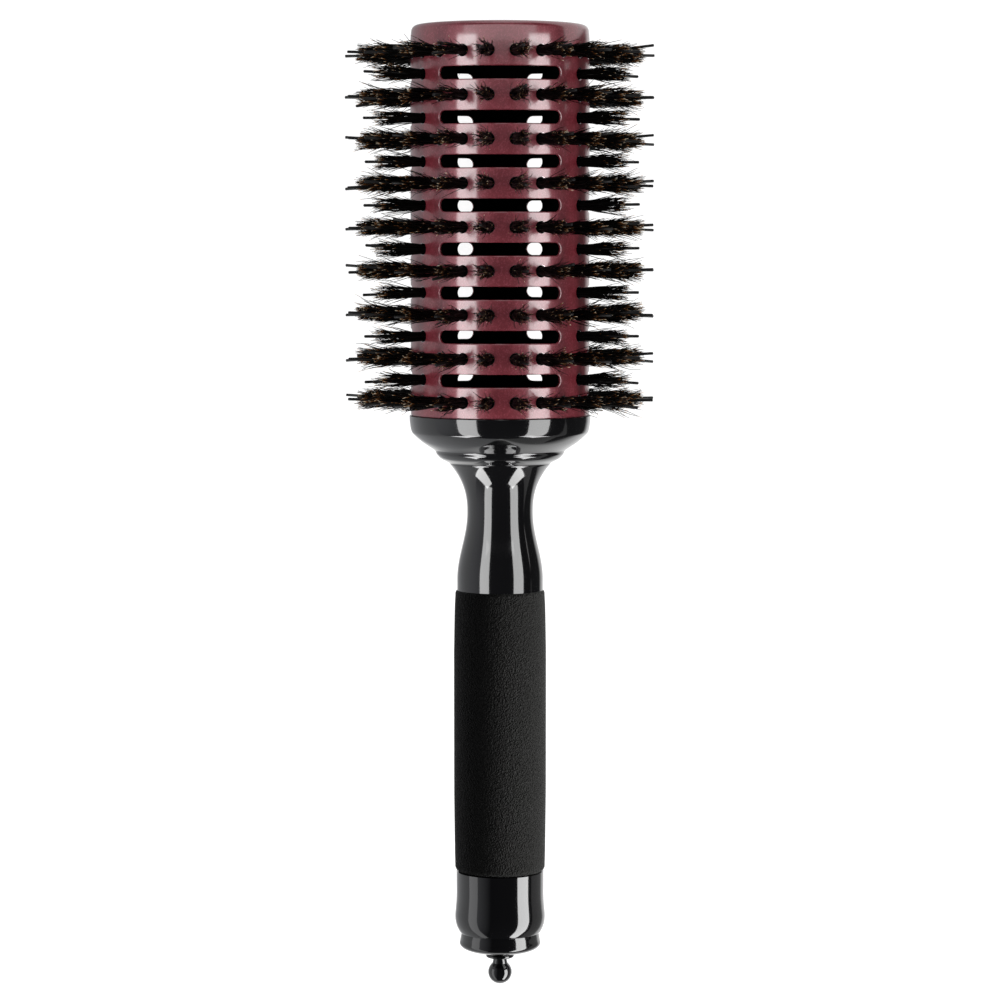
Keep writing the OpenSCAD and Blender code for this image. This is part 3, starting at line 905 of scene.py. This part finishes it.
def tube_mesh(name, lines, radii, sides, tone):
    """Tubes along lines (count, joints, 3) in millimetres, with a radius for each joint."""
    count, joints = lines.shape[:2]
    direction = np.gradient(lines, axis=1)
    direction /= np.linalg.norm(direction, axis=2, keepdims=True)
    across = np.cross(direction, ALONG)
    across /= np.linalg.norm(across, axis=2, keepdims=True)
    third = np.cross(direction, across)
    corner = np.arange(sides)
    phase = rng.uniform(0, 2 * math.pi, count)[:, None] + 2 * math.pi * corner / sides
    spoke = (
        np.cos(phase)[:, None, :, None] * across[:, :, None, :]
        + np.sin(phase)[:, None, :, None] * third[:, :, None, :]
    )
    skin = lines[:, :, None, :] + np.array(radii)[None, :, None, None] * spoke
    start = (np.arange(count) * joints * sides)[:, None, None]
    level = start + (np.arange(joints - 1) * sides)[None, :, None]
    one, two = level + corner, level + (corner + 1) % sides
    quads = np.stack([one, two, two + sides, one + sides], axis=-1).reshape(-1, 4)
    mesh = bpy.data.meshes.new(name)
    mesh.from_pydata((skin.reshape(-1, 3) * MM).tolist(), [], quads.tolist())
    reach = np.broadcast_to(np.linspace(0, 1, joints)[None, :, None], (count, joints, sides))
    tones = np.broadcast_to(tone[:, None, None], (count, joints, sides))
    for key, values in (("along", reach), ("tone", tones)):
        layer = mesh.attributes.new(key, "FLOAT", "POINT")
        layer.data.foreach_set("value", values.reshape(-1).astype(np.float32))
    mesh.polygons.foreach_set("use_smooth", [True] * len(mesh.polygons))
    return mesh


print("sides of a bristle", BRISTLE_SIDES, "and of a pin", PIN_SIDES)

# %% [markdown]
# A tuft is 120 bristles. They leave the hole packed tight, part as soon as they are free, and
# gather again into some twenty pointed locks, no two of one length. A third of them keep out of
# the locks and stand straight and stiff in all directions, as spikes round the tuft. The bristles
# grow thinner towards their tips. Lengths are in millimetres, and pairs are the least and the most
# but for the two that shape the spread of the lengths.

# %% Tuft sizes
BRISTLE_COUNT, LOCKS = 120, 24
ROOT_R, ROOT_DEPTH = 1.2, 1.4
BRISTLE_L = 16.2
LOCK_SPREAD = 2.2
LOCK_GAP = 0.02  # share of the locks' disc that stays free in its middle
LOCK_PULL = 0.6  # how far a tip goes from its own place to its lock's
LOCK_SHORTER, LOCK_BETA = 0.13, (1.2, 2.2)  # greatest loss of length, and its spread
BRISTLE_SHORTER, BRISTLE_BETA = 0.42, (1.0, 3.6)
SPIKE_SHARE, SPIKE_SPREAD, SPIKE_LENGTH = 0.34, (1.6, 5.0), (0.5, 1.0)
FAN, STRAY = (0.8, 1.2), 0.12  # chance in a tip's own place: factors, and millimetres
TUFT_LEAN = 0.25  # chance in the lean of a whole tuft
LOCK_BEND = 0.6  # below 1, so that a bristle bends out early
KINK, FRIZZ = 0.14, 0.5  # chance in each joint, and as much more at the tip
JOINTS = 6
BRISTLE_RADII = [0.11, 0.11, 0.11, 0.105, 0.09, 0.055]
print("bristles", BRISTLE_COUNT * sum(len(angles) for name, y, angles in rows))

# %% [markdown]
# Places over a hole are worked out as offsets, sideways and along the brush. Every bristle has a
# place at the root and one at the tip, where it goes to the lock nearest to its own place or, as
# a spike, anywhere round the tuft.

# %% Roots and tips


def polar(r, turn):
    """Offsets at radii and angles round the middle of a hole."""
    return np.stack([r * np.cos(turn), r * np.sin(turn)], axis=1)


def scatter(count, radius, gap=0.0):
    """Offsets spread evenly over a disc."""
    turn = rng.uniform(0, 2 * math.pi, count)
    return polar(radius * np.sqrt(rng.uniform(gap, 1, count)), turn)


def tips(root):
    """Offsets of the tips, which of them are spikes, and the lock of each bristle."""
    count = len(root)
    lock = scatter(LOCKS, LOCK_SPREAD, LOCK_GAP)
    fan = root * LOCK_SPREAD / ROOT_R
    home = np.argmin(np.linalg.norm(fan[:, None] - lock[None], axis=2), axis=1)
    fan = fan * rng.uniform(*FAN, count)[:, None]
    tip = fan + (lock[home] - fan) * LOCK_PULL + rng.normal(0, STRAY, (count, 2))
    spike = rng.uniform(0, 1, count) < SPIKE_SHARE
    spread, away = rng.uniform(*SPIKE_SPREAD, count), rng.uniform(0, 2 * math.pi, count)
    return np.where(spike[:, None], polar(spread, away), tip), spike, home


print("offset at radius 1 and 90 degrees", polar(np.ones(1), np.full(1, math.pi / 2)))

# %% [markdown]
# The bristles of a lock end near one height, a little short of the full length, and some are
# much shorter. Between root and tip a bristle follows its offset, with kinks that grow outward.

# %% One tuft


def bristle_lengths(spike, home):
    length = BRISTLE_L * (1 - LOCK_SHORTER * rng.beta(*LOCK_BETA, LOCKS))[home]
    length *= 1 - BRISTLE_SHORTER * rng.beta(*BRISTLE_BETA, len(home))
    length *= np.where(spike, rng.uniform(*SPIKE_LENGTH, len(home)), 1.0)
    return length


def tuft_lines(y, angle):
    """The bent centre lines of one tuft's bristles, and each one's tone."""
    root = scatter(BRISTLE_COUNT, ROOT_R)
    tip, spike, home = tips(root)
    lean = rng.normal(0, TUFT_LEAN, 2)
    length = bristle_lengths(spike, home)
    t = np.linspace(0, 1, JOINTS)
    height = t[None, :] * (ROOT_DEPTH + length)[:, None] - ROOT_DEPTH
    free = np.clip(height / BRISTLE_L, 0, None)[:, :, None]
    bend = np.where(spike, 1.0, LOCK_BEND)[:, None, None]
    offset = root[:, None] + (tip - root)[:, None] * free ** bend + lean * free ** 2
    kink = rng.normal(0, KINK, (BRISTLE_COUNT, JOINTS, 2))
    kink[:, -1] += rng.normal(0, FRIZZ, (BRISTLE_COUNT, 2))
    tone = rng.uniform(0, 1, BRISTLE_COUNT)
    return place_lines(y, angle, height, offset + kink * free), tone


sample, tones = tuft_lines(0.0, 0.0)
print("one tuft", sample.shape, "reaches radius", round(float(sample[:, :, 2].max() - AXIS_Z), 1))

# %% [markdown]
# Every row of tufts is one piece.

# %% Bristles
faces = 0
for pattern, y, angles in rows:
    tufts = [tuft_lines(y, angle) for angle in angles]
    name = pattern.format("bristles")
    mesh = tube_mesh(
        name, np.concatenate([lines for lines, tone in tufts]), BRISTLE_RADII, BRISTLE_SIDES,
        np.concatenate([tone for lines, tone in tufts]),
    )
    piece(name, "brush", BRISTLE, mesh, pattern.format("tufts"))
    faces += len(mesh.polygons)
print("bristle faces", faces)

# %% [markdown]
# Each tuft has one stiff nylon pin that stands two millimetres over the bristles, with a blunt
# round end. The bristles push it a little out of line. PIN_LEAN is how far, sideways and along
# the brush, at the tip.

# %% Pins
PIN_R, PIN_L = 0.4, 18.4
PIN_LEAN = (0.35, 0.85)
PIN_HEIGHTS = np.array([-1.0, 5.0, 11.0, PIN_L - 0.2, PIN_L - 0.05, PIN_L])
PIN_RADII = [PIN_R, PIN_R, PIN_R, PIN_R, PIN_R * 0.7, 0.01]
for pattern, y, angles in rows:
    lines = []
    for angle in angles:
        lean = rng.normal(0, PIN_LEAN)
        offset = lean * (np.clip(PIN_HEIGHTS, 0, None) / PIN_L)[None, :, None]
        lines.append(place_lines(y, angle, PIN_HEIGHTS[None], offset))
    name = pattern.format("nylon_pins")
    mesh = tube_mesh(name, np.concatenate(lines), PIN_RADII, PIN_SIDES, np.zeros(len(angles)))
    piece(name, "brush", NYLON_PIN, mesh, pattern.format("pins"))
print("pins", sum(len(angles) for name, y, angles in rows))

# %% [markdown]
# The studio has a white table. To glossy rays it glows with a painted reflection, as a ramp along X
# tells: grey on the left, white under the brush and black on the right, as a black card would show.
# Under the tail that black is only dark grey, and past the open end there is none. Two ramps along
# Y set the highest place in the colours that the ramp along X may reach.

# %% Table colours, a painted reflection
REFLECTION_SPAN = 150 * MM
TAIL_FROM, TAIL_TO, TAIL_LIMIT = -100 * MM, -60 * MM, 0.706
MOUTH_FROM, MOUTH_TO, MOUTH_LIMIT = 120 * MM, 150 * MM, 0.6
table_material, tree = new_material("white_table")
place = add(tree, "ShaderNodeTexCoord").outputs["Object"]
split = add(tree, "ShaderNodeSeparateXYZ", [("Vector", place)])
across = add(
    tree, "ShaderNodeMapRange", [("Value", split.outputs["X"])],
    From_Min=-REFLECTION_SPAN, From_Max=REFLECTION_SPAN,
)
tail_limit = add(
    tree, "ShaderNodeMapRange", [("Value", split.outputs["Y"])],
    From_Min=TAIL_FROM, From_Max=TAIL_TO, To_Min=TAIL_LIMIT, To_Max=1.0,
)
mouth_limit = add(
    tree, "ShaderNodeMapRange", [("Value", split.outputs["Y"])],
    From_Min=MOUTH_FROM, From_Max=MOUTH_TO, To_Min=1.0, To_Max=MOUTH_LIMIT,
)
limit = add(
    tree, "ShaderNodeMath", [(0, tail_limit.outputs["Result"]), (1, mouth_limit.outputs["Result"])],
    operation="MINIMUM",
)
limited = add(
    tree, "ShaderNodeMath", [(0, across.outputs["Result"]), (1, limit.outputs["Value"])],
    operation="MINIMUM",
)
painted_reflection_ramp = add(
    tree, "ShaderNodeValToRGB", [("Fac", limited.outputs["Value"])],
    [(0.38, "#aaabad"), (0.42, "#e6e6e6"), (0.66, "#e6e6e6"), (0.72, "#303031")],
)
print("colour stops across the table", len(painted_reflection_ramp.color_ramp.elements))

# %% [markdown]
# To the camera the table is paper that also glows, so it is nearly pure white and still takes the
# brush's soft shadow. Glossy pieces see the painted reflection above, a glow that lights nothing
# else. For other light it is plain grey.

# %% Table material
ray = add(tree, "ShaderNodeLightPath")
bounce = add(tree, "ShaderNodeBsdfDiffuse", Color=linear("#a0a0a0"))
# The table glows with these colours only for glossy rays: a painted reflection, not a lamp.
painted_reflection_glow = add(tree, "ShaderNodeEmission", [("Color", painted_reflection_ramp.outputs["Color"])])
glow = add(tree, "ShaderNodeEmission", Color=(1, 1, 1, 1), Strength=0.9)
paper = add(tree, "ShaderNodeBsdfDiffuse", Color=linear("#7c7c7c"))
white = add(
    tree, "ShaderNodeAddShader", [(0, glow.outputs["Emission"]), (1, paper.outputs["BSDF"])],
)
glossy = add(tree, "ShaderNodeMixShader", [("Fac", ray.outputs["Is Glossy Ray"])])
tree.links.new(glossy.inputs[1], bounce.outputs["BSDF"])
tree.links.new(glossy.inputs[2], painted_reflection_glow.outputs["Emission"])
seen = add(tree, "ShaderNodeMixShader", [("Fac", ray.outputs["Is Camera Ray"])])
tree.links.new(seen.inputs[1], glossy.outputs["Shader"])
tree.links.new(seen.inputs[2], white.outputs["Shader"])
add(tree, "ShaderNodeOutputMaterial", [("Surface", seen.outputs["Shader"])])
print("material", table_material.name)

# %% [markdown]
# The table top is one large square. It belongs to the stage, not to the brush.

# %% Table top
TABLE_HALF = 2500 * MM
table = bpy.data.meshes.new("table_top")
corners = [(-1, -1, 0), (1, -1, 0), (1, 1, 0), (-1, 1, 0)]
table.from_pydata([Vector(c) * TABLE_HALF for c in corners], [], [(0, 1, 2, 3)])
table.materials.append(table_material)
table_top = bpy.data.objects.new("table_top", table)
bpy.context.scene.collection.objects.link(table_top)
print("table half width", TABLE_HALF)

# %% [markdown]
# The barrel and the handle are lit as if they had been shot one after the other, so each group
# of pieces has lamps of its own.

# %% Lit groups
TAIL_PIECES = {"handle_tail", "end_ring", "pull_knob"}


def lit_group(name, pieces):
    """A collection of the objects that a lamp lights."""
    group = bpy.data.collections.new(name)
    for piece_name in pieces:
        group.objects.link(bpy.data.objects[piece_name])
    return group


everything = {obj.name for obj in bpy.context.scene.objects}
front = lit_group("front_of_the_brush", everything - TAIL_PIECES - {"foam_sleeve"})
tail_and_grip = lit_group("tail_and_grip", TAIL_PIECES | {"foam_sleeve", "table_top"})
tail_only = lit_group("tail", TAIL_PIECES | {"table_top"})
grip_only = lit_group("grip", {"foam_sleeve"})

# %% [markdown]
# Every lamp is a rectangle that faces the brush and that the camera doesn't see. radiance is how
# bright a lamp itself looks, where 1 is white. Sizes and places are in metres here.

# %% Kinds of lamp
LAMP_DISTANCE, UPRIGHT_DISTANCE = 0.62, 0.74


def lamp(name, place, turn, size, radiance, lit):
    """A lamp of a width and a height, for one group of pieces."""
    data = bpy.data.lights.new(name, "AREA")
    data.shape = "RECTANGLE"
    data.size, data.size_y = size
    data.energy = radiance * math.pi * size[0] * size[1]
    obj = bpy.data.objects.new(name, data)
    bpy.context.scene.collection.objects.link(obj)
    obj.location = place
    obj.rotation_euler = turn
    obj.visible_camera = False
    obj.light_linking.receiver_collection = lit
    return obj


def strip(name, angle, wide, y_from, y_to, radiance, lit):
    """A strip lamp along the brush, at an angle from overhead, that faces the axis."""
    a = math.radians(angle)
    middle, height = (y_from + y_to) / 2, AXIS_Z * MM + LAMP_DISTANCE * math.cos(a)
    place = (LAMP_DISTANCE * math.sin(a), middle, height)
    return lamp(name, place, (0, a, 0), (wide, y_to - y_from), radiance, lit)


def upright(name, angle, wide, high, radiance, lit):
    """A strip lamp that stands at the knob's end, at an angle from the axis, and faces the neck."""
    a = math.radians(angle)
    place = (UPRIGHT_DISTANCE * math.sin(a), -UPRIGHT_DISTANCE * math.cos(a), high / 2)
    return lamp(name, place, (math.pi / 2, 0, a), (wide, high), radiance, lit)


print("lamps so far", len(bpy.data.lights))

# %% [markdown]
# Two long strips hang over the barrel, one to each side, and leave its two pale bands. Two upright
# strips beyond the knob draw the streaks of the neck. Two lower strips run along the tail, the
# right one bright and the left one dim, and one nearly at the grip's level rakes the right side of
# the foam. A soft panel beyond the open end lights the crown.

# %% Lamps
strip("strip_right", 51, 0.315, -0.6, 0.24, 4.0, front)
strip("strip_left", -42.5, 0.286, -0.6, 0.24, 4.0, front)
upright("upright_right", 32, 0.234, 0.52, 5.5, front)
upright("upright_left", -32, 0.234, 0.52, 5.5, front)
strip("tail_strip_right", 63, 0.36, -1.6, 0.1, 5.6, tail_and_grip)
strip("tail_strip_left", -74.5, 0.30, -1.6, 0.1, 0.68, tail_only)
strip("grip_strip", 84, 0.30, -0.7, 0.1, 8.0, grip_only)
lamp("mouth_panel", (0, 0.25, 0.37), (math.radians(-21.8), 0, 0), (0.7, 0.22), 0.9, front)
print("lamps", len(bpy.data.lights))

# %% [markdown]
# The sky is very dark overhead and on the right, which keeps the black lacquer black, and lighter
# towards the left, which gives its left flank a soft sheen. Low down beyond the open end it is
# nearly white, for the rolled rim. Again a ramp along Y limits the one along X.

# %% Sky colours
world = bpy.data.worlds.new("studio_sky")
bpy.context.scene.world = world
world.use_nodes = True
sky = world.node_tree
sky.nodes.clear()
way = add(sky, "ShaderNodeTexCoord").outputs["Generated"]
split = add(sky, "ShaderNodeSeparateXYZ", [("Vector", way)])
across = add(
    sky, "ShaderNodeMapRange", [("Value", split.outputs["X"])],
    From_Min=-1.0, From_Max=1.0, To_Min=0.05,
)
limit = add(
    sky, "ShaderNodeMapRange", [("Value", split.outputs["Y"])],
    From_Min=0.6, From_Max=0.95, To_Min=1.0, To_Max=0.0,
)
limited = add(
    sky, "ShaderNodeMath", [(0, across.outputs["Result"]), (1, limit.outputs["Result"])],
    operation="MINIMUM",
)
shade = add(
    sky, "ShaderNodeValToRGB", [("Fac", limited.outputs["Value"])],
    [
        (0.0, "#f2f2f2"), (0.05, "#a8a9ad"), (0.165, "#828387"), (0.335, "#2c2c2f"),
        (1.0, "#2a2a2c"),
    ],
)
print("colour stops in the sky", len(shade.color_ramp.elements))

# %% [markdown]
# The camera sees all of the sky as white, and everything else sees it in its colours.

# %% Sky
dim = add(sky, "ShaderNodeBackground", [("Color", shade.outputs["Color"])])
white = add(sky, "ShaderNodeBackground", Color=(1, 1, 1, 1), Strength=1.0)
ray = add(sky, "ShaderNodeLightPath")
seen = add(sky, "ShaderNodeMixShader", [("Fac", ray.outputs["Is Camera Ray"])])
sky.links.new(seen.inputs[1], dim.outputs["Background"])
sky.links.new(seen.inputs[2], white.outputs["Background"])
add(sky, "ShaderNodeOutputWorld", [("Surface", seen.outputs["Shader"])])
bpy.context.scene.view_settings.view_transform = "Standard"
print("sky", world.name)
